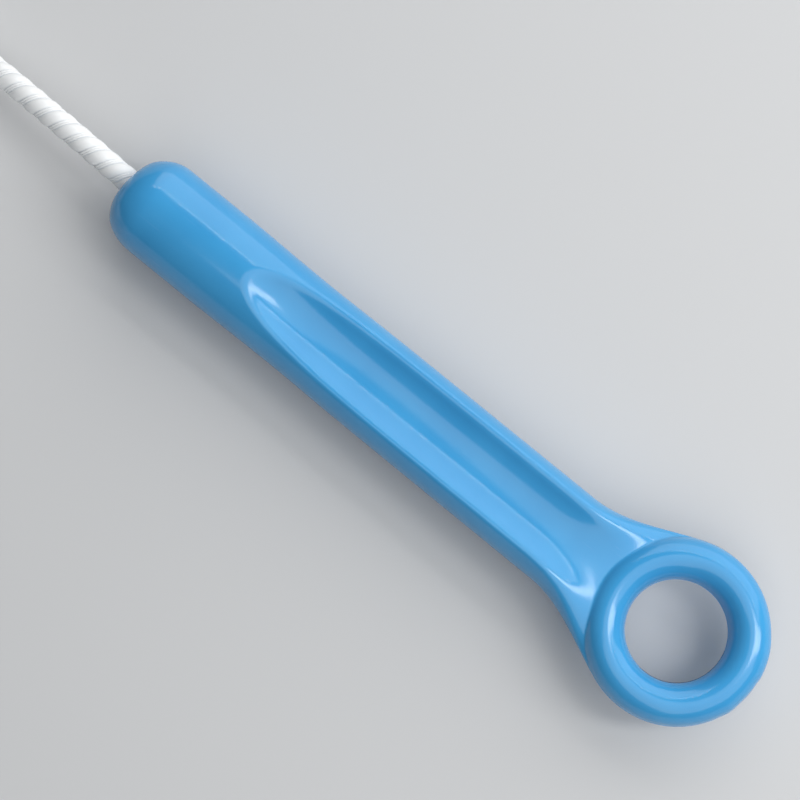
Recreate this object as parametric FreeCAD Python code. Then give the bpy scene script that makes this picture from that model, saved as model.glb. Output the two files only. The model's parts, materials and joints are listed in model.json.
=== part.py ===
import FreeCAD, Part
import math
import os
from FreeCAD import Vector

# Hand drain auger: a two-shell moulded handle with a finger ring, and a twisted, sheathed steel cable.
# Millimetres. The handle lies flat: +X runs from the finger ring to the nose, +Z is up, z = 0 is the
# floor, and the origin is at the middle of the handle's base.

# Handle
handle_length = 150.0
bar_radius = 9.65
nose_length = 7.5            # how far back the rounding of the nose reaches
nose_face_radius = 3.8
nose_dish_depth = 0.85
ring_hole_radius = 9.5
ring_width = 8.05            # radial width of the ring's section
ring_height = 10.0
ring_land_overlap = 0.1      # how far the hole cuts into the ring's rounded inner side
neck_start = 6.5             # where the neck's outline leaves the ring, from the ring's centre along X
neck_end = 26.8              # where it meets the bar
neck_tuck = 0.1              # how far the neck's first section stays inside the ring's outside
neck_sections = 8
groove_apex_from_nose = 30.4
groove_floor_height = 4.0    # above the parting plane
groove_section_radius = 8.7
groove_ramp_radius = 57.0    # the floor's rise to the apex, seen from the side
groove_ramp_turn = 50.0      # degrees of that arc, enough to pass out of the top of the bar
wall = 2.2
rib_thickness = 2.0
rib_count = 3
pin_radius = 1.25
pin_length = 2.4
pin_clearance = 0.05
pin_end_gap = 0.2

# Cable and its anchor in the nose
cable_diameter = 4.9
cable_bore_clearance = 0.05
cable_side_shift = -0.6      # the cable leaves a little to one side
core_diameter = 2.4
core_clearance = 0.05
sheath_seat_length = 12.6    # sheath held inside the nose
sleeve_length = 12.0
sleeve_across_flats = 8.0
sleeve_clearance = 0.1
washer_thickness = 1.0
washer_radius = 3.9
button_radius = 2.6
button_length = 2.0
anchor_end_gap = 0.5

# Working end
ferrule_wall = 0.65          # thinner than the ties, so the ferrule clears the floor
ferrule_length = 11.0
ferrule_grip = 7.0           # cable held inside the ferrule
ferrule_clearance = 0.05
tang_radius = 2.0
head_length = 17.0
head_width = 9.0
head_thickness = 2.6
pad_thickness = 0.9
pad_margin = 0.9

# Coil of the put-away cable, and its ties
coil_radius = 26.5           # to the middle of the turns
coil_x = 132.0
coil_side_shift = -1.7       # where the cable joins the coil, across X
tie_thickness = 0.7
tie_width = 5.0
tie_angles = {"coil_tie_near": -45.0, "coil_tie_far": 45.0}
bend_share = 0.45            # part of the shorter neighbouring run that a bend of the cable takes up
cutter_overrun = 1.0         # how far a cutter passes the face it opens

# Worked out from the sizes above
mid_z = bar_radius
handle_height = 2 * bar_radius
nose_x = handle_length / 2
ring_outer_radius = ring_hole_radius + ring_width
ring_mid_radius = ring_hole_radius + ring_width / 2
ring_x = ring_outer_radius - handle_length / 2
cable_radius = cable_diameter / 2
ferrule_radius = cable_radius + ferrule_wall
floor_z = tie_thickness + cable_radius        # the cable's middle where it lies on the ties
top_turn_z = floor_z + cable_diameter
bar_start_x = ring_x + neck_end
coil_y = coil_side_shift + coil_radius
seat_x = nose_x - sheath_seat_length
sleeve_x = seat_x - sleeve_length
washer_x = sleeve_x - washer_thickness
anchor_x = washer_x - button_length

# The free cable's route, from the nose down to the floor, and from the coil to the working end
run_route = [
    (nose_x, cable_side_shift, mid_z),
    (97.5, -1.05, 9.0),
    (120.0, -1.5, 3.6),
    (coil_x, coil_y - coil_radius, floor_z),
]
tail_route = [
    (coil_x, coil_y + coil_radius, top_turn_z),
    (121.0, 51.4, 7.9),
    (109.0, 51.5, floor_z),
    (98.0, 51.5, floor_z),
]


def rod(radius, x_low, x_high, y=0.0, z=mid_z):
    return Part.makeCylinder(radius, x_high - x_low, Vector(x_low, y, z), Vector(1, 0, 0))


def box(low, high):
    size = Vector(*high) - Vector(*low)
    return Part.makeBox(size.x, size.y, size.z, Vector(*low))


def revolve(edges, centre, axis, angle=360.0):
    return Part.Face(Part.Wire(edges)).revolve(centre, axis, angle)


def bar(radius, x_low, x_high, end_length, end_radius):
    """A round bar whose far end is rounded over a quarter ellipse, down to a small flat face.
    Its profile is drawn in the parting plane, so the seam of the turned face is there too."""
    centre = Vector(x_high - end_length, end_radius, mid_z)
    tip = centre + Vector(end_length, 0, 0)
    shoulder = centre + Vector(0, radius - end_radius, 0)
    ellipse = Part.Ellipse(tip, shoulder, centre)
    rounding = Part.ArcOfEllipse(ellipse, 0, math.pi / 2).toShape()
    low = Vector(x_low, 0, mid_z)
    edges = [
        Part.LineSegment(Vector(x_high, 0, mid_z), tip).toShape(),
        rounding,
        Part.LineSegment(shoulder, low + Vector(0, radius, 0)).toShape(),
        Part.LineSegment(low + Vector(0, radius, 0), low).toShape(),
        Part.LineSegment(low, Vector(x_high, 0, mid_z)).toShape(),
    ]
    return revolve(edges, low, Vector(1, 0, 0))


def ring_solid():
    """The finger ring: an upright oval turned about the hole's axis."""
    half_width = ring_width / 2 + ring_land_overlap
    centre = Vector(ring_x + ring_hole_radius + ring_width / 2, 0, mid_z)
    crown = centre + Vector(0, 0, ring_height / 2)
    oval = Part.Ellipse(crown, centre + Vector(half_width, 0, 0), centre)
    ring = revolve([oval.toShape()], Vector(ring_x, 0, mid_z), Vector(0, 0, 1))
    outer = upright(ring_outer_radius)
    return ring.common(outer).cut(upright(ring_hole_radius))


def upright(radius):
    """A tall round post on the ring's axis."""
    return Part.makeCylinder(radius, 2 * handle_height, Vector(ring_x, 0, mid_z - handle_height))


def neck_half_width(reach):
    """Half the neck's width at a distance from the ring's centre: a cubic, tangent to ring and bar."""
    length = neck_end - neck_start
    share = (reach - neck_start) / length
    ring_half = math.sqrt(ring_outer_radius**2 - neck_start**2)
    ring_slope = -neck_start / ring_half
    settled = share * share * (3 - 2 * share)
    return ring_half + settled * (bar_radius - ring_half) + length * ring_slope * share * (1 - share) ** 2


def neck():
    """Oval sections from the ring to the bar, lofted."""
    across = FreeCAD.Rotation(Vector(0, 1, 0), Vector(0, 0, 1), Vector(1, 0, 0))
    sections = []
    for k in range(neck_sections):
        share = k / (neck_sections - 1)
        reach = neck_start + share * (neck_end - neck_start)
        rise = (1 - math.cos(math.pi * share)) / 2
        half_height = ring_height / 2 + rise * (bar_radius - ring_height / 2)
        half_width = neck_half_width(reach) - neck_tuck * (1 - share) ** 2
        oval = Part.Ellipse(Vector(), half_width, min(half_height, half_width)).toShape()
        oval.Placement = FreeCAD.Placement(Vector(ring_x + reach, 0, mid_z), across)
        sections.append(Part.Wire([oval]))
    return Part.makeLoft(sections, True, False)


def groove(radius):
    """What the thumb groove takes from the top: a round trough that rises to the apex on a large arc."""
    rise = bar_radius - groove_floor_height
    reach = math.sqrt(groove_ramp_radius**2 - (groove_ramp_radius - rise) ** 2)
    turn_x = nose_x - groove_apex_from_nose - reach
    centre = Vector(turn_x, 0, mid_z + groove_floor_height + groove_section_radius)
    trough = rod(radius, ring_x, turn_x, 0, centre.z)
    section = Part.Face(Part.Wire(Part.makeCircle(radius, centre, Vector(1, 0, 0))))
    pivot = Vector(turn_x, 0, mid_z + groove_floor_height + groove_ramp_radius)
    ramp = section.revolve(pivot, Vector(0, 1, 0), -groove_ramp_turn)
    return trough.fuse(ramp)


def cut_both_sides(shape, cutter):
    """Takes a cutter from a shape, and then the cutter's reflection in the parting plane."""
    reflection = cutter.mirror(Vector(0, 0, mid_z), Vector(0, 0, 1))
    return shape.cut(cutter).cut(reflection)


def handle_outer():
    body = bar(bar_radius, bar_start_x, nose_x, nose_length, nose_face_radius)
    body = cut_both_sides(body.fuse(neck()), groove(groove_section_radius))
    finger_hole = upright(ring_mid_radius)
    handle = body.cut(finger_hole).fuse(ring_solid()).removeSplitter()
    dish = Part.makeCone(
        cable_radius + cable_bore_clearance,
        nose_face_radius,
        nose_dish_depth,
        Vector(nose_x - nose_dish_depth, cable_side_shift, mid_z),
        Vector(1, 0, 0),
    )
    return handle.cut(dish)


def hexagon(across_flats, x_low, x_high):
    """A hexagonal bar with a corner on each side, at the cable's axis."""
    corner = Vector(0, across_flats / math.sqrt(3), 0)
    centre = Vector(x_low, cable_side_shift, mid_z)
    turns = [FreeCAD.Rotation(Vector(1, 0, 0), 60 * k) for k in range(7)]
    face = Part.Face(Part.makePolygon([centre + turn.multVec(corner) for turn in turns]))
    return face.extrude(Vector(x_high - x_low, 0, 0))


def anchor_space():
    """The bore for the sheath, the pocket for the crimp sleeve, and the room behind it."""
    bore = rod(cable_radius + cable_bore_clearance, seat_x, nose_x + cutter_overrun, cable_side_shift)
    pocket = hexagon(sleeve_across_flats + 2 * sleeve_clearance, sleeve_x, seat_x)
    room = rod(washer_radius + sleeve_clearance, anchor_x - anchor_end_gap, sleeve_x, cable_side_shift)
    return bore.fuse(pocket).fuse(room)


def hollow():
    """Pockets along the bar, a wall inside the outside, with ribs left between them."""
    inner = rod(bar_radius - wall, bar_start_x, anchor_x - wall)
    inner = cut_both_sides(inner, groove(groove_section_radius + wall))
    start = bar_start_x + wall
    end = anchor_x - anchor_end_gap - wall
    pocket_length = (end - start - rib_count * rib_thickness) / (rib_count + 1)
    pockets = []
    for k in range(rib_count + 1):
        low = start + k * (pocket_length + rib_thickness)
        slab = box((low, -bar_radius, 0), (low + pocket_length, bar_radius, handle_height))
        pockets.append(inner.common(slab))
    return Part.makeCompound(pockets)


def pin_places():
    """Where the front shell's pins stand: far side of the ring, both sides of the neck and of the nose."""
    beside_sleeve = (bar_radius + sleeve_across_flats / math.sqrt(3)) / 2
    neck_x = bar_start_x - 2 * wall
    nose_pin_x = seat_x - sleeve_length / 2
    return [
        (ring_x - ring_mid_radius, 0.0),
        (neck_x, beside_sleeve),
        (neck_x, -beside_sleeve),
        (nose_pin_x, beside_sleeve),
        (nose_pin_x, -beside_sleeve),
    ]


def pins(radius, length):
    posts = [Part.makeCylinder(radius, length, Vector(x, y, mid_z - length)) for x, y in pin_places()]
    return Part.makeCompound(posts)


def shells():
    """The handle, parted on its middle plane into a front and a back shell."""
    handle = handle_outer().cut(anchor_space()).cut(hollow())
    reach = handle_length
    above = box((-reach, -reach, mid_z), (reach, reach, mid_z + reach))
    below = box((-reach, -reach, mid_z - reach), (reach, reach, mid_z))
    front = handle.common(above).fuse(pins(pin_radius, pin_length)).removeSplitter()
    back = handle.common(below).cut(pins(pin_radius + pin_clearance, pin_length + pin_end_gap))
    return front, back


def cable_anchor():
    """The cable's end in the nose: sheath, bare core with its upset button, crimp sleeve and washer."""
    y = cable_side_shift
    core_hole = rod(core_diameter / 2 + core_clearance, anchor_x, seat_x, y)
    core = rod(core_diameter / 2, anchor_x + button_length, seat_x, y)
    button = rod(button_radius, anchor_x, anchor_x + button_length, y)
    return {
        "cable_sheath_end": rod(cable_radius, seat_x, nose_x, y),
        "cable_core_end": core.fuse(button).removeSplitter(),
        "crimp_sleeve": hexagon(sleeve_across_flats, sleeve_x, seat_x).cut(core_hole),
        "stop_washer": rod(washer_radius, washer_x, sleeve_x, y).cut(core_hole),
    }


def tube(name, route):
    """A round tube along straight runs joined by tangent arcs, each as large as its two runs allow."""
    points = [Vector(*p) for p in route]
    edges = []
    radii = []
    start = points[0]
    for before, corner, after in zip(points, points[1:], points[2:]):
        reach = bend_share * min((before - corner).Length, (after - corner).Length)
        back = (before - corner).normalize()
        ahead = (after - corner).normalize()
        half_turn = (math.pi - back.getAngle(ahead)) / 2
        radius = reach / math.tan(half_turn)
        inward = (back + ahead).normalize()
        middle = corner + inward * (radius / math.cos(half_turn) - radius)
        first = corner + back * reach
        last = corner + ahead * reach
        edges.append(Part.LineSegment(start, first).toShape())
        edges.append(Part.Arc(first, middle, last).toShape())
        radii.append(radius)
        start = last
    edges.append(Part.LineSegment(start, points[-1]).toShape())
    path = Part.Wire(edges)
    section = Part.Wire(Part.makeCircle(cable_radius, points[0], points[1] - points[0]))
    solid = path.makePipeShell([section], True, False)
    expected = math.pi * cable_radius**2 * path.Length
    print(name, "length", round(path.Length, 1), "radii", [round(r, 1) for r in radii])
    print(name, "volume over section times length", round(solid.Volume / expected, 4))
    return solid


def oblong(x, half_width, half_height, z):
    """The outline of two turns lying on each other: straight sides, round top and bottom."""
    low = Vector(x, 0, z - half_height + half_width)
    high = Vector(x, 0, z + half_height - half_width)
    out = Vector(half_width, 0, 0)
    down = Vector(0, 0, -half_width)
    edges = [
        Part.Arc(low - out, low + down, low + out).toShape(),
        Part.LineSegment(low + out, high + out).toShape(),
        Part.Arc(high + out, high - down, high - out).toShape(),
        Part.LineSegment(high - out, low - out).toShape(),
    ]
    return Part.Wire(edges)


def coil_and_ties():
    """Two turns, one on the other, as one closed ring, with a flat band round them at each tie."""
    middle_z = floor_z + cable_radius
    centre = Vector(coil_x, coil_y, 0)
    up = Vector(0, 0, 1)
    place = Vector(coil_x + coil_radius, coil_y, 0)

    def turned(half_width, half_height, angle):
        outline = oblong(0, half_width, half_height, middle_z)
        outline.translate(place)
        return Part.Face(outline).revolve(centre, up, angle)

    made = {"cable_coil": turned(cable_radius, cable_diameter, 360.0)}
    span = math.degrees(tie_width / coil_radius)
    for name, angle in tie_angles.items():
        band = turned(cable_radius + tie_thickness, cable_diameter + tie_thickness, span)
        band = band.cut(turned(cable_radius, cable_diameter, span))
        band.rotate(centre, up, angle - span / 2)
        made[name] = band
    return made


def working_end():
    """The ferrule on the cable's end, and the flat head with a hooked pad on each face."""
    end = Vector(*tail_route[-1])
    mouth_x = end.x + ferrule_grip
    inner_x = mouth_x - ferrule_length
    head_end_x = inner_x - head_length
    ferrule = rod(ferrule_radius, inner_x, mouth_x, end.y, end.z)
    ferrule = ferrule.cut(rod(cable_radius + ferrule_clearance, end.x, mouth_x, end.y, end.z))
    ferrule = ferrule.cut(rod(tang_radius + ferrule_clearance, inner_x, end.x, end.y, end.z))
    half = head_width / 2
    low = end.z - head_thickness / 2
    plate = box((head_end_x + half, end.y - half, low), (inner_x, end.y + half, low + head_thickness))
    tip = Part.makeCylinder(half, head_thickness, Vector(head_end_x + half, end.y, low))
    head = plate.fuse(tip).fuse(rod(tang_radius, inner_x, end.x, end.y, end.z)).removeSplitter()
    made = {"tip_ferrule": ferrule, "tip_head": head}
    pad_half = half - pad_margin
    for name, pad_low in (("hook_pad_top", low + head_thickness), ("hook_pad_bottom", low - pad_thickness)):
        start = (head_end_x + half, end.y - pad_half, pad_low)
        stop = (inner_x - pad_margin, end.y + pad_half, pad_low + pad_thickness)
        nose = Part.makeCylinder(pad_half, pad_thickness, Vector(start[0], end.y, pad_low))
        made[name] = box(start, stop).fuse(nose).removeSplitter()
    return made


def main():
    os.makedirs("parts", exist_ok=True)
    front, back = shells()
    nodes = {"front_shell": front, "back_shell": back}
    nodes.update(cable_anchor())
    nodes["cable_run"] = tube("cable_run", run_route)
    nodes["cable_tail"] = tube("cable_tail", tail_route)
    nodes.update(coil_and_ties())
    nodes.update(working_end())
    for name, shape in nodes.items():
        solids = shape.Solids
        print(name, "solids", len(solids), "valid", shape.isValid(), "volume", round(shape.Volume, 1))
        if len(solids) == 1:
            shape = solids[0]
        shape.exportStep(f"parts/{name}.step")


main()
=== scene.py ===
import json
import math
import bmesh
import bpy
import numpy as np
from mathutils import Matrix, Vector


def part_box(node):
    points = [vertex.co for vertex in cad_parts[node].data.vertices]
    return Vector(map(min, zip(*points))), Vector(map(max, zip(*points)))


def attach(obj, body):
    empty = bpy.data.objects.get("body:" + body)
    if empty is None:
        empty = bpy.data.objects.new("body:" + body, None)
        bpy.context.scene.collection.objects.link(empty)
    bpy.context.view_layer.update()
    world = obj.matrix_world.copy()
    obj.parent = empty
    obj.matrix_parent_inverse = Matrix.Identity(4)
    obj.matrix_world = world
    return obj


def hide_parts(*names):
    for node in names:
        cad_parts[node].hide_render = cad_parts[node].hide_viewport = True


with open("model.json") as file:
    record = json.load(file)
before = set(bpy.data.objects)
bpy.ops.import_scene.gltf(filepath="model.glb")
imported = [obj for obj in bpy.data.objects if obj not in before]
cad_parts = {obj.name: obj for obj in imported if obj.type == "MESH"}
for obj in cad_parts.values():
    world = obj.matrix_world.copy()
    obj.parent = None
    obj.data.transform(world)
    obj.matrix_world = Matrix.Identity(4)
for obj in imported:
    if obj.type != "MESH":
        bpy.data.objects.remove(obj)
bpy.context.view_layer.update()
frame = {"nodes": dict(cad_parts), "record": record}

mm = 0.001
record = frame["record"]

# Sizes in millimetres, read from the frame, that place everything else
frontLow, frontHigh = (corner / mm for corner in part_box("front_shell"))
seatLow, seatHigh = (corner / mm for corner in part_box("cable_sheath_end"))
coilLow, coilHigh = (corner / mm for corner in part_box("cable_coil"))
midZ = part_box("back_shell")[1].z / mm
barRadius = frontHigh.z - midZ
noseX = frontHigh.x
ringOuter = frontHigh.y
ringX = frontLow.x + ringOuter
ringHole = record["mounts"][0]["dims"]["r_mm"]
cableRadius = (seatHigh.y - seatLow.y) / 2
cableY = (seatHigh.y + seatLow.y) / 2
print("frame loaded:", len(frame["nodes"]), "nodes")

camera = {
    "lens": 100.0,
    "sensor": 36.0,
    "pictureWidth": 149.9,     # at the parting plane
    "target": (9.3, -0.888),
    "turn": 219.4,
    "elevation": 82.0,
}


def makeCamera(c):
    data = bpy.data.cameras.new("camera")
    data.lens = c["lens"]
    data.sensor_width = c["sensor"]
    data.clip_start = 0.01
    data.clip_end = 20.0
    obj = bpy.data.objects.new("camera", data)
    bpy.context.scene.collection.objects.link(obj)
    turn, lift = math.radians(c["turn"]), math.radians(c["elevation"])
    back = Vector((math.sin(turn) * math.cos(lift), -math.cos(turn) * math.cos(lift), math.sin(lift)))
    target = Vector((*c["target"], midZ)) * mm
    obj.location = target + back * (c["pictureWidth"] * mm * c["lens"] / c["sensor"])
    obj.rotation_mode = "QUATERNION"
    obj.rotation_quaternion = (-back).to_track_quat("-Z", "Y")
    bpy.context.scene.camera = obj
    return target


target = makeCamera(camera)

# The cable's route: out of the nose and down, one and a half turns, then out to the working end
cable = {
    "run": [(75.0, -0.6, 9.65), (97.5, -1.3, 9.15), (120.0, -1.95, 3.4)],
    "coilRadius": 26.5,
    "coilTurns": 1.5,
    "pointsPerTurn": 16,
    "climb": (110.0, 233.0),    # degrees of turn over which it climbs onto the first turn
    "tail": [(121.0, 51.4, 7.9), (109.0, 51.5, 3.15), (98.0, 51.5, 3.15)],
    "repeat": 3.97,             # one wide and one narrow strand, along the cable
    "wideShare": 0.735,
    "strandDepth": 0.34,
    "crownPower": 2.6,
    "narrowHeights": (0.30, 0.34),  # between its two lines, and how far they rise above that
    "rowStep": 0.42,
    "wideColumns": 20,
    "narrowColumns": 12,
}


def cableRoute(c):
    # A circle's control points stand a little outside it, so that the spline lies on it
    centre = (coilLow + coilHigh) / 2
    low = coilLow.z + cableRadius
    step = 360.0 / c["pointsPerTurn"]
    outside = c["coilRadius"] / math.cos(math.radians(step / 2))
    count = int(c["coilTurns"] * c["pointsPerTurn"])
    turn = []
    for k in range(count + 1):
        angle = k * step - 90.0
        share = (angle - c["climb"][0]) / (c["climb"][1] - c["climb"][0])
        rise = 2 * cableRadius * float(smoothStep(share))
        radius = c["coilRadius"] if k in (0, count) else outside
        a = math.radians(angle)
        turn.append((centre.x + radius * math.cos(a), centre.y + radius * math.sin(a), low + rise))
    return c["run"] + turn + c["tail"]


def smoothStep(t):
    # Nought below 0, one above 1, and 3t^2 - 2t^3 between
    t = np.clip(t, 0, 1)
    return t * t * (3 - 2 * t)


def splinePoints(route):
    # The points of a smooth spline whose control points are the route's, read back from a curve with no bevel
    curve = bpy.data.curves.new("route", "CURVE")
    curve.dimensions = "3D"
    curve.resolution_u = 40
    spline = curve.splines.new("NURBS")
    spline.points.add(len(route) - 1)
    for point, place in zip(spline.points, route):
        point.co = (*(v * mm for v in place), 1)
    spline.order_u = 3
    spline.use_endpoint_u = True
    obj = bpy.data.objects.new("route", curve)
    bpy.context.scene.collection.objects.link(obj)
    line = bpy.data.meshes.new_from_object(obj)
    points = np.empty(len(line.vertices) * 3)
    line.vertices.foreach_get("co", points)
    bpy.data.objects.remove(obj)
    bpy.data.curves.remove(curve)
    bpy.data.meshes.remove(line)
    return points.reshape(-1, 3) / mm


def evenPoints(points, step):
    # The same line, with points an even distance apart, and the distance of each from the start
    gaps = np.linalg.norm(np.diff(points, axis=0), axis=1)
    keep = np.concatenate([[True], gaps > 1e-6])
    points = points[keep]
    along = np.concatenate([[0], np.cumsum(np.linalg.norm(np.diff(points, axis=0), axis=1))])
    count = max(2, int(round(along[-1] / step)) + 1)
    even = np.linspace(0, along[-1], count)
    return np.stack([np.interp(even, along, points[:, k]) for k in range(3)], axis=1), even


def makePiece(name, points, faces, sharpAngle, merge=False, uv=None, heights=None):
    # An object at the origin from points in millimetres, with its faces turned outwards, and points
    # that coincide joined if merge is asked for
    mesh = bpy.data.meshes.new(name)
    mesh.from_pydata((np.asarray(points, float) * mm).tolist(), [], faces)
    work = bmesh.new()
    work.from_mesh(mesh)
    if merge:
        bmesh.ops.remove_doubles(work, verts=work.verts, dist=2e-7)
        bmesh.ops.dissolve_degenerate(work, dist=1e-7, edges=work.edges)
    bmesh.ops.recalc_face_normals(work, faces=work.faces)
    work.to_mesh(mesh)
    work.free()
    if uv is not None:
        corner = np.empty(len(mesh.loops), np.int32)
        mesh.loops.foreach_get("vertex_index", corner)
        layer = mesh.uv_layers.new(name="along")
        layer.data.foreach_set("uv", (uv[corner] * mm).astype(np.float32).ravel())
    if heights is not None:
        strand = mesh.attributes.new("strandHeight", "FLOAT", "POINT")
        strand.data.foreach_set("value", heights.astype(np.float32))
    mesh.polygons.foreach_set("use_smooth", np.ones(len(mesh.polygons), bool))
    mesh.set_sharp_from_angle(angle=math.radians(sharpAngle))
    obj = bpy.data.objects.new(name, mesh)
    bpy.context.scene.collection.objects.link(obj)
    return obj


def gridFaces(rows, columns, start=0, closed=False):
    # Quads between neighbours of a grid of points, numbered along its rows
    index = np.arange(rows * columns).reshape(rows, columns) + start
    if closed:
        index = np.concatenate([index, index[:, :1]], axis=1)
    quads = np.stack([index[:-1, :-1], index[1:, :-1], index[1:, 1:], index[:-1, 1:]], axis=-1)
    return quads.reshape(-1, 4)


def tubeFaces(rows, columns):
    # Quads round a closed grid, with a face over each end
    ends = [list(range(columns)), [(rows - 1) * columns + k for k in reversed(range(columns))]]
    return gridFaces(rows, columns, 0, closed=True).tolist() + ends


def joinGrids(grids):
    # Several grids as one list of points and one of quads
    points, faces, start = [], [], 0
    for grid in grids:
        rows, columns = grid.shape[:2]
        points.append(grid.reshape(-1, 3))
        faces.append(gridFaces(rows, columns, start))
        start += rows * columns
    return np.concatenate(points), np.concatenate(faces)


def strandProfile(c):
    # Radius against share of one repeat: a wide rounded strand, then a narrow one with two fine lines
    wide = (1 - np.cos(np.linspace(0, np.pi, c["wideColumns"] + 1)[:-1])) / 2
    crown = 1 - np.abs(2 * wide - 1) ** c["crownPower"]
    narrow = np.linspace(0, 1, c["narrowColumns"] + 1)[:-1]
    low, rise = c["narrowHeights"]
    fine = low + rise * np.abs(np.sin(2 * np.pi * narrow))
    fine[0] = 0.0
    share = np.concatenate([wide * c["wideShare"], c["wideShare"] + narrow * (1 - c["wideShare"])])
    height = np.concatenate([crown, fine])
    return share, height


def twistedCable(name, points, along, c):
    # Columns run along the strands: at a distance s the profile is turned by -2 pi s / lead, a left-hand
    # twist, and each repeat of the profile fills half the way round. The radius is the cable's, less the
    # strand depth times how far the profile is below its crown
    share, height = strandProfile(c)
    around = np.concatenate([share, 1 + share]) * np.pi
    height = np.concatenate([height, height])
    tangent = np.gradient(points, axis=0)
    tangent /= np.linalg.norm(tangent, axis=1, keepdims=True)
    side = np.cross([0.0, 0.0, 1.0], tangent)
    side /= np.linalg.norm(side, axis=1, keepdims=True)
    over = np.cross(tangent, side)
    angle = around[None, :] - np.pi * along[:, None] / c["repeat"]
    radius = cableRadius - c["strandDepth"] * (1 - height)[None, :] + 0 * angle
    outward = np.cos(angle)[..., None] * side[:, None, :] + np.sin(angle)[..., None] * over[:, None, :]
    grid = points[:, None, :] + radius[..., None] * outward
    rows, columns = grid.shape[:2]
    return makePiece(name, grid.reshape(-1, 3), tubeFaces(rows, columns), 60.0, heights=np.tile(height, rows))


routeLine, routeAlong = evenPoints(splinePoints(cableRoute(cable)), cable["rowStep"])
cablePiece = twistedCable("twisted_cable", routeLine, routeAlong, cable)
seatLine = np.array([[seatLow.x, cableY, midZ], [noseX, cableY, midZ]])
seatPoints, seatAlong = evenPoints(seatLine, cable["rowStep"])
seatPiece = twistedCable("cable_in_nose", seatPoints, seatAlong - seatAlong[-1], cable)
print("cable made:", round(float(routeAlong[-1]), 1), "mm")

# The handle: heights above the parting plane, over a plan of the ring, the neck, the bar and the nose
handle = {
    "ringCrest": 5.0,
    "flash": 0.07,              # how far the moulding flash stands out at the parting plane
    "flashHeight": 0.06,
    "flashSwing": (0.35, 0.65, 0.7),    # its mean strength, its swing round the ring, and the swing's turn
    "gateX": -74.9,             # plane left where the moulding was cut from its runner
    "gateReach": 0.16,
    "gateTurn": 0.42,           # radians round the ring from its far end
    "gateFade": 0.3,
    "gateRound": 0.1,
    "gateLimit": 0.9,           # radians past which the plane is no longer followed
    "gateNib": (-0.31, 0.15, 0.09),     # radians from the far end, how far out, how wide
    "neckStart": 6.5,           # from the ring's centre
    "neckEnd": 26.8,
    "slimmer": 0.10,
    "waist": 0.18,
    "waistX": 32.5,
    "waistReach": 11.0,
    "slimFrom": (54.0, 14.0),   # where the bar starts to be slimmer, and over what length
    "grooveFloor": 4.0,
    "grooveRadius": 8.7,
    "grooveApexX": 44.6,
    "grooveEase": 10.0,
    "flareStart": 11.0,
    "flareLength": 20.0,
    # how rounded the groove's rims are: widest where they run into the ring, narrow at the apex
    "rimRound": [(-51.0, 5.0), (-32.0, 2.3), (25.0, 2.0), (44.0, 0.9)],
    "rimFade": 1.5,             # height of the oval below which its rims get sharper again
    "ringFillet": 0.4,
    "filletReach": 5.0,
    "grooveDip": (0.55, 15.0, 9.0),     # how much lower the floor is at the ring, and where that fades
    "bodyFade": (1.5, 0.8, 3.0),        # how fast the neck sinks in the ring: inwards, from where, back
    "noseLength": 7.5,
    "noseFace": 3.8,
    "noseShift": (0.7, 0.87),   # over which part of the quarter ellipse it moves over to the cable
    "noseSlant": (0.35, 4.0),   # the nose reaches further on its +Y side, and up to where that grows
    "nibs": [(-4.25, 0.95), (3.45, 0.55)],   # where across, and how far out
    "nibSize": (0.36, 0.5),
    "nibBand": 2.5,             # how far behind the nose's end they may begin
    "dishDepth": 0.85,
    "dishCurve": 1.4,
    "boreRadius": 2.5,
    "wall": 2.2,
    "pockets": [(-28.45, -11.66), (-9.66, 7.12), (9.12, 25.91), (27.91, 44.7)],
    "room": (46.9, 50.4, 4.0),  # from, to and radius of the room behind the sleeve
    "sleeve": (50.4, 62.4, 4.73, 4.1),   # from, to, half its width at the corners, half its height
    "anchorStart": 45.8,
    "columns": 128,
    "rowStep": 0.55,
    "fineRows": (37.0, 46.5, 0.25),     # closer rows round the groove's apex
    "stepGap": 0.01,            # how far a row stands on either side of each step of the inside
    "noseRows": 26,
    "dishRows": 7,
    "ringRows": 40,
    "ringColumns": 170,
}
ringMid = (ringHole + ringOuter) / 2
ringHalf = (ringOuter - ringHole) / 2


def softMin(a, b, k):
    # The lower of two heights, with the crease between them rounded over a width k
    k = np.maximum(k, 1e-6)
    share = np.clip(0.5 + 0.5 * (b - a) / k, 0, 1)
    return b + (a - b) * share - k * share * (1 - share)


def barHalf(x, h):
    # The bar's radius: full at the nose, a little slimmer behind it, slimmest at the waist
    start, length = h["slimFrom"]
    slim = h["slimmer"] * smoothStep((start - x) / length)
    return barRadius - slim - h["waist"] * np.exp(-(((x - h["waistX"]) / h["waistReach"]) ** 2))


def outlineHalf(x, h):
    # Half the width: a cubic tangent to the ring and to the bar, then the bar's radius
    length = h["neckEnd"] - h["neckStart"]
    share = np.clip((x - ringX - h["neckStart"]) / length, 0, 1)
    start = math.sqrt(ringOuter**2 - h["neckStart"] ** 2)
    slope = -h["neckStart"] / start
    settled = share * share * (3 - 2 * share)
    return start + settled * (barHalf(x, h) - start) + length * slope * share * (1 - share) ** 2


def troughHeight(x, y, h):
    # The groove's floor eases up to the apex, and its section is an arc that flattens towards the ring
    reach = x - ringX
    rise = (barRadius - h["grooveFloor"]) * np.exp(-(h["grooveApexX"] - x) / h["grooveEase"])
    bend = smoothStep((reach - h["flareStart"]) / h["flareLength"]) / h["grooveRadius"]
    arc = np.sqrt(np.clip(1 - (bend * y) ** 2, 0, 1))
    dip, start, length = h["grooveDip"]
    floor = h["grooveFloor"] - dip * (1 - smoothStep((reach - start) / length))
    return floor + rise + bend * y**2 / (1 + arc)


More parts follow.
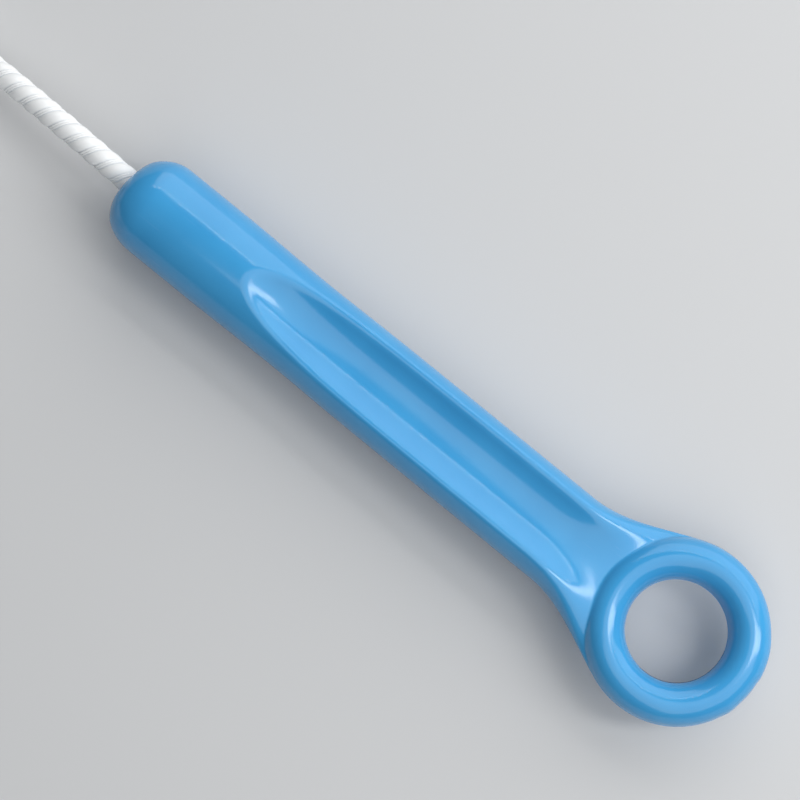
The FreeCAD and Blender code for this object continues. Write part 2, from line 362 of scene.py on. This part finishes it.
def bodyHeight(x, y, across, h):
    # The lower of the bar's oval and the groove, fading out inside the ring's crest
    reach = x - ringX
    share = np.clip((reach - h["neckStart"]) / (h["neckEnd"] - h["neckStart"]), 0, 1)
    high = h["ringCrest"] + (1 - np.cos(np.pi * share)) / 2 * (barHalf(x, h) - h["ringCrest"])
    oval = high * np.sqrt(np.clip(1 - across**2, 0, 1))
    rim = np.interp(x, *zip(*h["rimRound"]))
    body = softMin(oval, troughHeight(x, y, h), rim * smoothStep(oval / h["rimFade"]))
    radius = np.hypot(reach, y)
    inwards, beyond, back = h["bodyFade"]
    body = body - inwards * np.maximum(0, ringMid + beyond - radius) ** 2
    return body - back * np.maximum(0, h["neckStart"] - reach) ** 2


def ringHeight(x, y, h):
    # An oval section, with a thin flash at its inner and outer edge that comes and goes round the ring
    off = np.hypot(x - ringX, y) - ringMid
    angle = np.arctan2(y, x - ringX)
    section = h["ringCrest"] * np.sqrt(np.clip(1 - (off / (ringHalf - h["flash"])) ** 2, 0, 1))
    mean, swing, turn = h["flashSwing"]
    outer = np.clip(mean - swing * np.cos(angle + turn), 0, 1)
    inner = np.clip(mean + swing * np.cos(angle + turn), 0, 1)
    strength = np.where(off > 0, outer, inner)
    edge = np.sqrt(np.clip(1 - (off / ringHalf) ** 2, 0, 1)) * 2
    return np.maximum(section, np.minimum(h["flashHeight"] * strength, edge))


def handleHeight(x, y, across, h):
    # The higher of the ring and the body, with a fillet that grows to its full width along the neck
    reach = x - ringX
    fillet = h["ringFillet"] * smoothStep((reach - h["neckStart"]) / h["filletReach"])
    return np.maximum(0, -softMin(-ringHeight(x, y, h), -bodyHeight(x, y, across, h), fillet))


def stack(x, y, z):
    return np.stack(np.broadcast_arrays(x, y, z), axis=-1).astype(float)


def shellGrids(h):
    # Outer and inner rows from the ring to the nose, and the ring itself, above a parting plane at nought
    theta = np.linspace(-np.pi / 2, np.pi / 2, h["columns"] + 1)
    cornerAngle = math.acos(h["neckStart"] / ringOuter)
    phi = np.arcsin(math.sin(cornerAngle) * np.sin(theta))
    first = ringX + h["neckStart"]
    straight = noseX - h["noseLength"]
    steps = [v for pocket in h["pockets"] for v in pocket]
    steps += [h["room"][0], h["sleeve"][0], h["sleeve"][1], h["anchorStart"]]
    edge = np.arange(first, straight, h["rowStep"])
    beside = [v + side * h["stepGap"] for side in (-1, 1) for v in steps]
    edge = np.concatenate([edge, beside, [straight]])
    edge = np.unique(np.round(np.concatenate([edge, np.arange(*h["fineRows"])]), 5))
    lean = 1 - smoothStep((edge - first) / (h["pockets"][0][0] - first))
    x = edge[:, None] + lean[:, None] * ringOuter * (np.cos(phi) - math.cos(cornerAngle))[None, :]
    firstX = first + ringOuter * (np.cos(phi) - math.cos(cornerAngle))
    firstAcross = np.clip(ringOuter * np.sin(phi) / outlineHalf(firstX, h), -1, 1)
    across = lean[:, None] * firstAcross + (1 - lean)[:, None] * np.sin(theta)
    across[:, 0], across[:, -1] = -1, 1
    y = outlineHalf(x, h) * across
    z = handleHeight(x, y, across, h)
    outer = stack(x, y, z)

    # The nose: a quarter ellipse, then the dish round the cable
    t = np.linspace(0, np.pi / 2, h["noseRows"] + 1)[1:]
    noseAt = straight + h["noseLength"] * np.sin(t)
    noseWide = h["noseFace"] + (barRadius - h["noseFace"]) * np.cos(t)
    shift = cableY * smoothStep((t - h["noseShift"][0]) / h["noseShift"][1])
    v = np.linspace(0, 1, h["dishRows"] + 1)[1:]
    noseAt = np.concatenate([noseAt, noseX - h["dishDepth"] * v ** h["dishCurve"]])
    noseWide = np.concatenate([noseWide, h["noseFace"] - (h["noseFace"] - h["boreRadius"]) * v])
    shift = np.concatenate([shift, np.full(len(v), cableY)])
    nose = stack(noseAt[:, None], shift[:, None] + noseWide[:, None] * np.sin(theta),
                 noseWide[:, None] * np.cos(theta))
    outer = np.concatenate([outer, nose])
    onNose = smoothStep((outer[..., 0] - straight) / h["noseLength"])
    slant, slantHalf = h["noseSlant"]
    outer[..., 0] += slant * np.clip(outer[..., 1] / slantHalf, -1, 1) * onNose
    for place, reach in h["nibs"]:
        near = ((outer[..., 1] - place) / h["nibSize"][0]) ** 2 + (outer[..., 2] / h["nibSize"][1]) ** 2
        outer[..., 0] += np.where(outer[..., 0] > noseX - h["nibBand"], reach * np.exp(-near), 0)

    # The inside: pockets a wall inside the outside, then the room, the sleeve's pocket and the bore
    hollow = np.zeros_like(edge)
    for low, high in h["pockets"]:
        hollow = np.maximum(hollow, (edge > low) & (edge < high))
    inside = edge > h["pockets"][0][0]
    half = np.where(inside, outlineHalf(edge, h) - h["wall"], 0)
    pocketY = half[:, None] * np.sin(theta)
    pocketZ = np.minimum(half[:, None] * np.cos(theta),
                         np.maximum(0, troughHeight(edge[:, None], pocketY, h) - h["wall"]))
    pocketZ = np.minimum(pocketZ, half[:, None] * np.cos(theta)) * hollow[:, None]
    innerX = np.where(inside[:, None], edge[:, None], x)
    innerY = np.where(inside[:, None], pocketY, y)
    innerZ = np.where(inside[:, None], pocketZ, 0)
    anchor = edge > h["anchorStart"]
    bore = edge > h["sleeve"][1]
    sleeve = (edge > h["sleeve"][0]) & ~bore
    room = (edge > h["room"][0]) & ~sleeve & ~bore
    wide = np.where(bore, h["boreRadius"], np.where(sleeve, h["sleeve"][2], h["room"][2]))
    roundZ = wide[:, None] * np.cos(theta)
    hexZ = np.minimum(h["sleeve"][3], (1 - np.abs(np.sin(theta))) * h["sleeve"][2] * math.sqrt(3))
    anchorZ = np.where(sleeve[:, None], hexZ, roundZ) * (room | sleeve | bore)[:, None]
    innerY = np.where(anchor[:, None], cableY + wide[:, None] * np.sin(theta), innerY)
    innerZ = np.where(anchor[:, None], anchorZ, innerZ)
    inner = stack(innerX, innerY, innerZ)
    boreAt = np.linspace(straight, noseX - h["dishDepth"], len(noseAt) + 1)[1:]
    boreRows = stack(boreAt[:, None], cableY + h["boreRadius"] * np.sin(theta),
                     h["boreRadius"] * np.cos(theta))
    inner = np.concatenate([inner, boreRows])
    inner[-1] = outer[-1]       # the bore ends on the dish's own last row, slanted as it is

    # The ring, with the neck's columns in its sector
    rest = np.linspace(cornerAngle, 2 * np.pi - cornerAngle, h["ringColumns"] + 1)[1:-1]
    angle = np.concatenate([phi, rest, phi[:1] + 2 * np.pi])
    psi = np.linspace(0, np.pi, h["ringRows"] + 1)
    radius = (ringMid - ringHalf * np.cos(psi))[:, None]
    rx = ringX + radius * np.cos(angle)
    ry = radius * np.sin(angle)
    rAcross = np.clip(ry / outlineHalf(rx, h), -1, 1)
    rz = handleHeight(rx, ry, rAcross, h)
    inSector = np.arange(len(angle)) <= h["columns"]
    rz[0] = 0
    rz[-1, ~inSector] = 0
    rx[-1, : h["columns"] + 1], ry[-1, : h["columns"] + 1], rz[-1, : h["columns"] + 1] = outer[0].T
    rx[-1, -1], ry[-1, -1], rz[-1, -1] = outer[0, 0]
    # The gate: an arc swells out to the plane it was cut on, fades on its -Y side, and has a nib
    # on its +Y side
    turned = np.arctan2(-ry, ringX - rx)
    flat = np.maximum(0, (ringX - h["gateX"]) / np.cos(np.clip(turned, 0, h["gateLimit"])) - ringOuter)
    rounded = h["gateReach"] * (1 - smoothStep((turned - h["gateTurn"]) / h["gateFade"]))
    nibTurn, nibReach, nibWidth = h["gateNib"]
    nib = nibReach * np.exp(-(((turned - nibTurn) / nibWidth) ** 2))
    edgeShare = smoothStep((radius - ringMid) / ringHalf) ** 2 * (rx < ringX)
    push = (np.maximum(0, softMin(flat, rounded, h["gateRound"])) + nib) * edgeShare
    rx, ry = rx - push * np.cos(turned), ry - push * np.sin(turned)
    ring = stack(rx, ry, rz)
    under = ring[[0, -1]].copy()
    under[:, :, 2] = 0
    sides = [np.stack([outer[:, k], inner[:, k]]) for k in (0, -1)]
    return [outer, inner, ring, under, *sides]


def makeShells(h):
    points, faces = joinGrids(shellGrids(h))
    made = []
    for name, way in (("handle_front", 1), ("handle_back", -1)):
        shell = points * [1, 1, way] + [0, 0, midZ]
        made.append(makePiece(name, shell, faces.tolist(), 42.0, merge=True))
    return made


frontPiece, backPiece = makeShells(handle)
print("handle made:", len(frontPiece.data.polygons), "faces in each shell")

# The two straps: each goes once and a quarter round both turns of the coil, and lies on itself
tie = {
    "thickness": 0.28,
    "width": 5.0,
    "gap": 0.03,
    "turns": 1.25,
    "start": 0.30,             # where round the section the strap starts
    "edge": 0.12,
    "rows": 180,
}


def stadiumLine(share, half, high):
    # Round an upright stadium by share of its length: the point across and up, and the way out there
    straight, bend = 2 * (high - half), math.pi * half
    total = 2 * straight + 2 * bend
    d = np.mod(share, 1) * total
    inRight, inTop = d < straight, (d >= straight) & (d < straight + bend)
    inLeft = (d >= straight + bend) & (d < 2 * straight + bend)
    a = np.where(inTop, (d - straight) / half, (d - 2 * straight - bend) / half + np.pi)
    across = np.where(inRight, half, np.where(inLeft, -half, half * np.cos(a)))
    fromLow = np.where(inRight, d, np.where(inLeft, 2 * straight + bend - d, 0))
    up = np.where(inRight | inLeft, fromLow - straight / 2, half * np.sin(a))
    up = up + np.where(inTop, straight / 2, np.where(inRight | inLeft, 0, -straight / 2))
    outA = np.where(inRight, 1, np.where(inLeft, -1, np.cos(a)))
    outU = np.where(inRight | inLeft, 0, np.sin(a))
    return across, up, outA, outU, total


def makeTie(name, degrees, t):
    # A flat section, rounded at its corners, carried along a slowly widening stadium
    share = np.linspace(0, t["turns"], t["rows"])
    half, high = cableRadius, 2 * cableRadius
    across, up, outA, outU, total = stadiumLine(share + t["start"], half, high)
    w, k, e = t["width"] / 2, t["thickness"], t["edge"]
    section = np.array([(-w + e, 0), (w - e, 0), (w, e / 2), (w, k - e / 2), (w - e, k), (-w + e, k),
                        (-w, k - e / 2), (-w, e / 2)])
    lift = t["gap"] + t["thickness"] * share[:, None] + section[None, :, 1]
    radial = across[:, None] + outA[:, None] * lift
    upward = up[:, None] + outU[:, None] * lift
    a = math.radians(degrees)
    centre = (coilLow + coilHigh) / 2
    r = cable["coilRadius"] + radial
    side = section[None, :, 0] + 0 * r
    x = centre.x + r * math.cos(a) - side * math.sin(a)
    y = centre.y + r * math.sin(a) + side * math.cos(a)
    z = centre.z + upward
    grid = stack(x, y, z)
    uv = np.stack(np.broadcast_arrays((share * total)[:, None], side), axis=-1).reshape(-1, 2)
    return makePiece(name, grid.reshape(-1, 3), tubeFaces(*grid.shape[:2]), 50.0, uv=uv)


tiePieces = [makeTie("strap_near", -45.0, tie), makeTie("strap_far", 45.0, tie)]
print("straps made")

# The working end: a flat head with a rounded end, and pads of small hooks on both faces
headLow, headHigh = (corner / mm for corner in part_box("tip_head"))
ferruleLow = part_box("tip_ferrule")[0] / mm
working = {
    "edgeRound": 0.7,
    "edgeSteps": 6,
    "faceInsets": (0.98, 0.5),  # rings on the flat faces, as shares of half the width
    "squareness": 7.0,
    "columns": 96,
    "padBase": 0.3,
    "padRound": 0.1,
    "padMargins": (0.9, 0.6, 0.8, 0.5),     # clear of hooks at the free end, the ferrule and the sides
    "roundMargin": 0.7,
    "hookPitch": 0.95,
    "hookShift": 0.12,          # how far off its place, and how many radians off its way, one may be
    "hookTurn": 0.5,
    "hookSink": 0.02,
    "hookRadius": 0.085,
    "hookTip": (0.9, 0.6),      # where it gets thinner, and to what share
    "stem": (0.36, 0.45),       # its height, and its share of the hook's length
    "curl": (0.17, 0.95),       # its radius, and its share of half a turn
    "hookSides": 5,
    "hookSteps": 7,
    "seed": 11,
}


def headOutline(angle, low, high, half, w):
    # A half circle at the free end, and a squared-off half at the ferrule
    c, q = np.cos(angle), np.sin(angle)
    middle = low + half
    power = 2 / w["squareness"]
    x = np.where(c > 0, middle + (high - middle) * np.abs(c) ** power, middle + half * c)
    y = np.where(c > 0, half * np.sign(q) * np.abs(q) ** power, half * q)
    return x, y


def makePlate(low, high, half, zLow, zHigh, edge, w):
    # Rings of the outline from the middle of the top, over a rounded edge, to the middle of the bottom
    angle = np.linspace(0, 2 * np.pi, w["columns"] + 1)[:-1] + 0.001
    t = np.linspace(0, np.pi / 2, w["edgeSteps"])
    inset = np.concatenate([[half * share for share in w["faceInsets"]], edge * (1 - np.sin(t))])
    height = np.concatenate([[zHigh, zHigh], zHigh - edge * (1 - np.cos(t))])
    inset = np.concatenate([inset, inset[::-1]])
    height = np.concatenate([height, zLow + zHigh - height[::-1]])
    centre = (low + high) / 2
    x, y = headOutline(angle, low, high, half, w)
    reach = (high - low) / 2
    px = centre + (x - centre)[None, :] * (1 - inset / reach)[:, None]
    py = y[None, :] * (1 - inset / half)[:, None]
    grid = stack(px, py + (headLow.y + headHigh.y) / 2, height[:, None])
    return grid.reshape(-1, 3), tubeFaces(*grid.shape[:2])


def hookGrid(places, turns, base, way, w):
    # Each hook is a tube along a stem that rises and then curls over, repeated at every place
    t = np.linspace(0, 1, w["hookSteps"])
    (stemHeight, stemShare), (curlRadius, curlShare) = w["stem"], w["curl"]
    rise = stemHeight * np.minimum(1, t / stemShare)
    curl = np.clip((t - stemShare) / (1 - stemShare), 0, 1) * np.pi * curlShare
    stemX = curlRadius * (1 - np.cos(curl))
    stemZ = rise + curlRadius * np.sin(curl)
    pathX, pathZ = np.gradient(stemX), np.gradient(stemZ)
    size = np.hypot(pathX, pathZ)
    pathX, pathZ = pathX / size, pathZ / size
    ring = np.linspace(0, 2 * np.pi, w["hookSides"] + 1)[:-1]
    r = w["hookRadius"] * np.where(t < w["hookTip"][0], 1, w["hookTip"][1])
    lx = stemX[:, None] - pathZ[:, None] * r[:, None] * np.cos(ring)
    lz = stemZ[:, None] + pathX[:, None] * r[:, None] * np.cos(ring)
    ly = r[:, None] * np.sin(ring) + 0 * lx
    c, q = np.cos(turns)[:, None, None], np.sin(turns)[:, None, None]
    x = places[:, 0, None, None] + c * lx - q * ly
    y = places[:, 1, None, None] + q * lx + c * ly
    z = base + way * lz + 0 * x
    return stack(x, y, z)


def makePad(name, node, way, w):
    # A thin plate with hooks at the crossings of a grid, each a little off its place, seeded
    low, high = (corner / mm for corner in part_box(node))
    half = (high.y - low.y) / 2
    root = low.z if way > 0 else high.z
    top = root + way * w["padBase"]
    points, faces = makePlate(low.x, high.x, half, min(root, top), max(root, top), w["padRound"], w)
    rng = np.random.default_rng(w["seed"] + way)
    atTip, atFerrule, atRight, atLeft = w["padMargins"]
    gx, gy = np.meshgrid(np.arange(low.x + atTip, high.x - atFerrule, w["hookPitch"]),
                         np.arange(-half + atRight, half - atLeft, w["hookPitch"]), indexing="ij")
    shift, turn = w["hookShift"], w["hookTurn"]
    places = np.stack([gx.ravel(), gy.ravel()], axis=1) + rng.uniform(-shift, shift, (gx.size, 2))
    rounded = np.hypot(np.minimum(0, places[:, 0] - low.x - half), places[:, 1]) < half - w["roundMargin"]
    places = places[rounded] + [0, (low.y + high.y) / 2]
    turns = rng.choice([0, np.pi], len(places)) + rng.uniform(-turn, turn, len(places))
    hooks = hookGrid(places, turns, top - way * w["hookSink"], way, w)
    count, rows, columns = hooks.shape[:3]
    one = gridFaces(rows, columns, 0, closed=True)
    start = len(points) + np.arange(count)[:, None, None] * rows * columns
    sides = (one[None] + start).reshape(-1, 4)
    caps = np.stack([np.arange(columns), (rows - 1) * columns + np.arange(columns)[::-1]])
    caps = (caps[None] + start).reshape(-1, columns)
    faces = faces + sides.tolist() + caps.tolist()
    return makePiece(name, np.concatenate([points, hooks.reshape(-1, 3)]), faces, 50.0)


headHalf = (headHigh.y - headLow.y) / 2
headPoints, headFaces = makePlate(headLow.x, ferruleLow.x, headHalf,
                                  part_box("hook_pad_bottom")[1].z / mm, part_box("hook_pad_top")[0].z / mm,
                                  working["edgeRound"], working)
headPiece = makePiece("tip_plate", headPoints, headFaces, 50.0)
padPieces = [makePad("hooks_top", "hook_pad_top", 1, working),
             makePad("hooks_bottom", "hook_pad_bottom", -1, working)]
print("working end made")


# Shader helpers, and the effects that several finishes share
def addNode(tree, kind, settings=None, inputs=None):
    node = tree.nodes.new(kind)
    for key, value in (settings or {}).items():
        setattr(node, key, value)
    for key, value in (inputs or {}).items():
        if isinstance(value, bpy.types.NodeSocket):
            tree.links.new(value, node.inputs[key])
        else:
            node.inputs[key].default_value = value
    return node


def newGroup(name, inputs, outputs):
    group = bpy.data.node_groups.new(name, "ShaderNodeTree")
    for title, kind, value in inputs:
        socket = group.interface.new_socket(title, in_out="INPUT", socket_type=kind)
        if value is not None:
            socket.default_value = value
    for title in outputs:
        group.interface.new_socket(title, in_out="OUTPUT", socket_type="NodeSocketFloat")
    return group, group.nodes.new("NodeGroupInput").outputs, group.nodes.new("NodeGroupOutput").inputs


def rampNode(tree, value, low, high, outLow=0.0, outHigh=1.0):
    return addNode(tree, "ShaderNodeMapRange", None, {
        "Value": value, "From Min": low, "From Max": high, "To Min": outLow, "To Max": outHigh}).outputs[0]


def mathNode(tree, operation, a, b):
    return addNode(tree, "ShaderNodeMath", {"operation": operation}, {0: a, 1: b}).outputs[0]


def makeMouldedSkin():
    # Moulded plastic: slow ripples, a fine grain, cloudy gloss, and hairline scuffs
    group, enter, leave = newGroup("mouldedSkin", [
        ("Position", "NodeSocketVector", None), ("Ripple Size", "NodeSocketFloat", 90.0),
        ("Grain Size", "NodeSocketFloat", 1500.0)], ["Height", "Gloss", "Scuff", "Cloud"])
    where = enter["Position"]
    ripple = addNode(group, "ShaderNodeTexNoise", None, {
        "Vector": where, "Scale": enter["Ripple Size"], "Detail": 2.0})
    grain = addNode(group, "ShaderNodeTexNoise", None, {
        "Vector": where, "Scale": enter["Grain Size"], "Detail": 3.0})
    stretched = addNode(group, "ShaderNodeMapping", None, {
        "Vector": where, "Rotation": (0.3, 0.2, 0.6), "Scale": (90.0, 2600.0, 900.0)})
    scratch = addNode(group, "ShaderNodeTexNoise", None, {
        "Vector": stretched.outputs[0], "Scale": 1.0, "Detail": 1.0})
    lines = rampNode(group, scratch.outputs[0], 0.70, 0.76)
    patch = addNode(group, "ShaderNodeTexNoise", None, {"Vector": where, "Scale": 60.0, "Detail": 2.0})
    patches = rampNode(group, patch.outputs[0], 0.5, 0.66)
    scuff = mathNode(group, "MULTIPLY", lines, patches)
    slow = mathNode(group, "MULTIPLY", ripple.outputs[0], 0.75)
    fine = mathNode(group, "MULTIPLY", grain.outputs[0], 0.25)
    group.links.new(mathNode(group, "ADD", slow, fine), leave["Height"])
    group.links.new(grain.outputs[0], leave["Gloss"])
    group.links.new(scuff, leave["Scuff"])
    group.links.new(ripple.outputs[0], leave["Cloud"])
    return group


def makeDrawnMarks():
    # Drawn and rolled steel: fine lines along X, and patches where the plating is duller
    group, enter, leave = newGroup("drawnMarks", [
        ("Position", "NodeSocketVector", None), ("Line Size", "NodeSocketFloat", 1.0)], ["Lines", "Dull"])
    stretched = addNode(group, "ShaderNodeMapping", None, {
        "Vector": enter["Position"], "Scale": (150.0, 7000.0, 7000.0)})
    lines = addNode(group, "ShaderNodeTexNoise", None, {
        "Vector": stretched.outputs[0], "Scale": enter["Line Size"], "Detail": 2.0})
    dull = addNode(group, "ShaderNodeTexNoise", None, {
        "Vector": enter["Position"], "Scale": 350.0, "Detail": 3.0})
    group.links.new(lines.outputs[0], leave["Lines"])
    group.links.new(dull.outputs[0], leave["Dull"])
    return group


mouldedSkin = makeMouldedSkin()
drawnMarks = makeDrawnMarks()


def startMaterial(name):
    material = bpy.data.materials.new(name)
    material.use_nodes = True
    tree = material.node_tree
    return material, tree, tree.nodes["Principled BSDF"], addNode(tree, "ShaderNodeTexCoord")


def mixColor(tree, share, a, b):
    node = addNode(tree, "ShaderNodeMix", {"data_type": "RGBA"})
    for socket, value in ((node.inputs[0], share), (node.inputs[6], a), (node.inputs[7], b)):
        if isinstance(value, bpy.types.NodeSocket):
            tree.links.new(value, socket)
        else:
            socket.default_value = value if isinstance(value, float) else (*value, 1)
    return node.outputs[2]


def bumpInto(tree, shader, height, strength, distance):
    bump = addNode(tree, "ShaderNodeBump", None, {
        "Height": height, "Strength": strength, "Distance": distance})
    tree.links.new(bump.outputs[0], shader.inputs["Normal"])


def mouldedPlastic(name, f):
    # Base colour drifts a little with the flow of the moulding, and scuffs are paler and less glossy
    material, tree, shader, where = startMaterial(name)
    skin = addNode(tree, "ShaderNodeGroup", {"node_tree": mouldedSkin}, {
        "Position": where.outputs["Object"], "Ripple Size": f["ripple"], "Grain Size": f["grain"]})
    cloud = rampNode(tree, skin.outputs["Cloud"], 0.35, 0.65)
    tone = mixColor(tree, cloud, f["color"], f["drift"])
    worn = mathNode(tree, "MULTIPLY", skin.outputs["Scuff"], f["wear"])
    tree.links.new(mixColor(tree, worn, tone, f["scuffColor"]), shader.inputs["Base Color"])
    gloss = rampNode(tree, skin.outputs["Gloss"], 0.3, 0.7, *f["roughness"])
    rough = mathNode(tree, "ADD", gloss, mathNode(tree, "MULTIPLY", worn, 0.25))
    tree.links.new(rough, shader.inputs["Roughness"])
    shader.inputs["IOR"].default_value = f["ior"]
    bumpInto(tree, shader, skin.outputs["Height"], f["bump"], 0.0002)
    return material


plasticFinishes = {
    "skyBluePlastic": {"color": (0.048, 0.32, 0.645), "drift": (0.055, 0.34, 0.67),
                       "scuffColor": (0.30, 0.52, 0.85), "wear": 0.12, "roughness": (0.12, 0.18),
                       "ior": 1.52, "ripple": 90.0, "grain": 1500.0, "bump": 0.05},
    "headPlastic": {"color": (0.86, 0.87, 0.87), "drift": (0.82, 0.84, 0.84),
                    "scuffColor": (0.95, 0.95, 0.95), "wear": 0.4, "roughness": (0.32, 0.45),
                    "ior": 1.48, "ripple": 200.0, "grain": 2600.0, "bump": 0.12},
    "hookNylon": {"color": (0.92, 0.92, 0.90), "drift": (0.86, 0.87, 0.86),
                  "scuffColor": (0.96, 0.96, 0.96), "wear": 0.2, "roughness": (0.28, 0.4),
                  "ior": 1.52, "ripple": 600.0, "grain": 4000.0, "bump": 0.08},
}
plastics = {name: mouldedPlastic(name, f) for name, f in plasticFinishes.items()}

# the sheath's second colour is painted shade, used low down between the strands
sheath = {"color": (0.92, 0.93, 0.93), "paintedValleyShade": (0.72, 0.75, 0.78), "roughness": (0.36, 0.5), "bump": 0.12}


def makeSheath(f):
    # Soft white plastic, with painted shade: it turns a little grey low down between the strands
    material, tree, shader, where = startMaterial("whiteSheath")
    skin = addNode(tree, "ShaderNodeGroup", {"node_tree": mouldedSkin}, {
        "Position": where.outputs["Object"], "Ripple Size": 500.0, "Grain Size": 3200.0})
    height = addNode(tree, "ShaderNodeAttribute", {"attribute_name": "strandHeight"})
    # painted shade: the colour goes towards the grey shade colour where the strand profile is low, between
    # the strands
    high = rampNode(tree, height.outputs["Fac"], 0.0, 0.55)
    cloud = rampNode(tree, skin.outputs["Cloud"], 0.3, 0.7, 0.82, 1.0)
    tree.links.new(mixColor(tree, mathNode(tree, "MULTIPLY", high, cloud), f["paintedValleyShade"], f["color"]),
                   shader.inputs["Base Color"])
    gloss = rampNode(tree, skin.outputs["Gloss"], 0.3, 0.7, *f["roughness"])
    tree.links.new(gloss, shader.inputs["Roughness"])
    bumpInto(tree, shader, skin.outputs["Height"], f["bump"], 0.0001)
    return material


def makeSteel(name, f):
    # Plated or drawn steel, with fine lines along X and duller patches
    material, tree, shader, where = startMaterial(name)
    marks = addNode(tree, "ShaderNodeGroup", {"node_tree": drawnMarks}, {
        "Position": where.outputs["Object"], "Line Size": 1.0})
    dull = rampNode(tree, marks.outputs["Dull"], 0.42, 0.62)
    tree.links.new(mixColor(tree, dull, f["color"], f["dull"]), shader.inputs["Base Color"])
    lined = rampNode(tree, marks.outputs["Lines"], 0.3, 0.7, *f["roughness"])
    rough = mathNode(tree, "ADD", lined, mathNode(tree, "MULTIPLY", dull, 0.1))
    tree.links.new(rough, shader.inputs["Roughness"])
    shader.inputs["Metallic"].default_value = 1.0
    bumpInto(tree, shader, marks.outputs["Lines"], 0.15, 0.00005)
    return material


steelFinishes = {
    "platedSteel": {"color": (0.66, 0.66, 0.65), "dull": (0.52, 0.52, 0.5), "roughness": (0.2, 0.36)},
    "drawnWire": {"color": (0.6, 0.6, 0.6), "dull": (0.46, 0.46, 0.45), "roughness": (0.26, 0.42)},
}
strapFinish = {"color": (0.018, 0.018, 0.02), "crest": (0.075, 0.075, 0.08), "roughness": (0.9, 0.68),
               "sheen": 0.25, "bump": 0.6}


def makeWebbing(f):
    # Woven strap: warp threads along it and weft across, worked out from the strap's own map
    material, tree, shader, where = startMaterial("wovenStrap")
    waves = []
    for direction, scale in (("X", 620.0), ("Y", 900.0)):
        wave = addNode(tree, "ShaderNodeTexWave", {"bands_direction": direction}, {
            "Vector": where.outputs["UV"], "Scale": scale, "Distortion": 0.4, "Detail": 1.0})
        waves.append(wave.outputs["Fac"])
    weave = mathNode(tree, "MULTIPLY", waves[0], waves[1])
    fuzz = addNode(tree, "ShaderNodeTexNoise", None, {
        "Vector": where.outputs["Object"], "Scale": 2500.0, "Detail": 4.0})
    thread = mathNode(tree, "ADD", weave, mathNode(tree, "MULTIPLY", fuzz.outputs[0], 0.3))
    tone = mixColor(tree, rampNode(tree, thread, 0.1, 1.0), f["color"], f["crest"])
    tree.links.new(tone, shader.inputs["Base Color"])
    tree.links.new(rampNode(tree, thread, 0.1, 1.0, *f["roughness"]), shader.inputs["Roughness"])
    shader.inputs["Sheen Weight"].default_value = f["sheen"]
    bumpInto(tree, shader, thread, f["bump"], 0.0001)
    return material


whiteSheath = makeSheath(sheath)
steels = {name: makeSteel(name, f) for name, f in steelFinishes.items()}
webbing = makeWebbing(strapFinish)
print("materials made:", len(bpy.data.materials))

# Which piece stands for which node, with its finish
placed = [
    (frontPiece, ["front_shell"], "handle_plastic", plastics["skyBluePlastic"]),
    (backPiece, ["back_shell"], "handle_plastic", plastics["skyBluePlastic"]),
    (cablePiece, ["cable_run", "cable_coil", "cable_tail"], "cable_sheath", whiteSheath),
    (seatPiece, ["cable_sheath_end"], "cable_sheath", whiteSheath),
    (tiePieces[0], ["coil_tie_near"], "tie_strap", webbing),
    (tiePieces[1], ["coil_tie_far"], "tie_strap", webbing),
    (headPiece, ["tip_head"], "head_plastic", plastics["headPlastic"]),
    (padPieces[0], ["hook_pad_top"], "hook_nylon", plastics["hookNylon"]),
    (padPieces[1], ["hook_pad_bottom"], "hook_nylon", plastics["hookNylon"]),
]
for piece, nodes, slotName, material in placed:
    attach(piece, "root")
    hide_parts(*nodes)
    piece.data.materials.append(material)
for name, steel in (("tip_ferrule", "platedSteel"), ("crimp_sleeve", "platedSteel"),
                    ("stop_washer", "platedSteel"), ("cable_core_end", "drawnWire")):
    for slot in bpy.data.objects[name].material_slots:
        slot.material = steels[steel]

studio = {
    "floorSize": 3.0,
    "floorColor": (0.58, 0.585, 0.59),
    "worldColor": (0.85, 0.92, 1.0),
    "worldStrength": 0.10,
    # way towards it, distance, width, height, brightness
    "key": ((-0.585, -0.340, 0.736), 0.6, 0.11, 0.42, 7.0),
    "side": ((0.05, -0.883, 0.469), 0.6, 1.0, 0.6, 1.65),
    "strip": ((0.05, -0.57, 0.82), 0.6, 1.0, 0.007, 17.0),
    "top": ((-0.45, 0.15, 0.88), 0.7, 0.9, 0.9, 1.5),
}


def makeStudio(s):
    half = s["floorSize"] / 2
    mesh = bpy.data.meshes.new("floor")
    corners = [(-half, -half, 0), (half, -half, 0), (half, half, 0), (-half, half, 0)]
    mesh.from_pydata(corners, [], [(0, 1, 2, 3)])
    floor = bpy.data.objects.new("floor", mesh)
    bpy.context.scene.collection.objects.link(floor)
    paper, tree, shader, where = startMaterial("floorPaper")
    fibres = addNode(tree, "ShaderNodeTexNoise", None, {
        "Vector": where.outputs["Object"], "Scale": 900.0, "Detail": 3.0})
    shader.inputs["Base Color"].default_value = (*s["floorColor"], 1)
    shader.inputs["Roughness"].default_value = 0.85
    bumpInto(tree, shader, fibres.outputs[0], 0.05, 0.0001)
    mesh.materials.append(paper)
    world = bpy.data.worlds.new("studio")
    world.use_nodes = True
    sky = world.node_tree.nodes["Background"]
    sky.inputs["Color"].default_value = (*s["worldColor"], 1)
    sky.inputs["Strength"].default_value = s["worldStrength"]
    bpy.context.scene.world = world
    for name in ("key", "side", "strip", "top"):
        way, distance, width, height, brightness = s[name]
        way = Vector(way).normalized()
        light = bpy.data.lights.new(name, "AREA")
        light.shape = "RECTANGLE"
        light.size, light.size_y = width, height
        light.energy = brightness * math.pi * width * height
        obj = bpy.data.objects.new(name, light)
        bpy.context.scene.collection.objects.link(obj)
        obj.location = target + way * distance
        obj.rotation_mode = "QUATERNION"
        obj.rotation_quaternion = (-way).to_track_quat("-Z", "Y")
    bpy.context.scene.view_settings.view_transform = "Standard"


makeStudio(studio)
print("studio made")
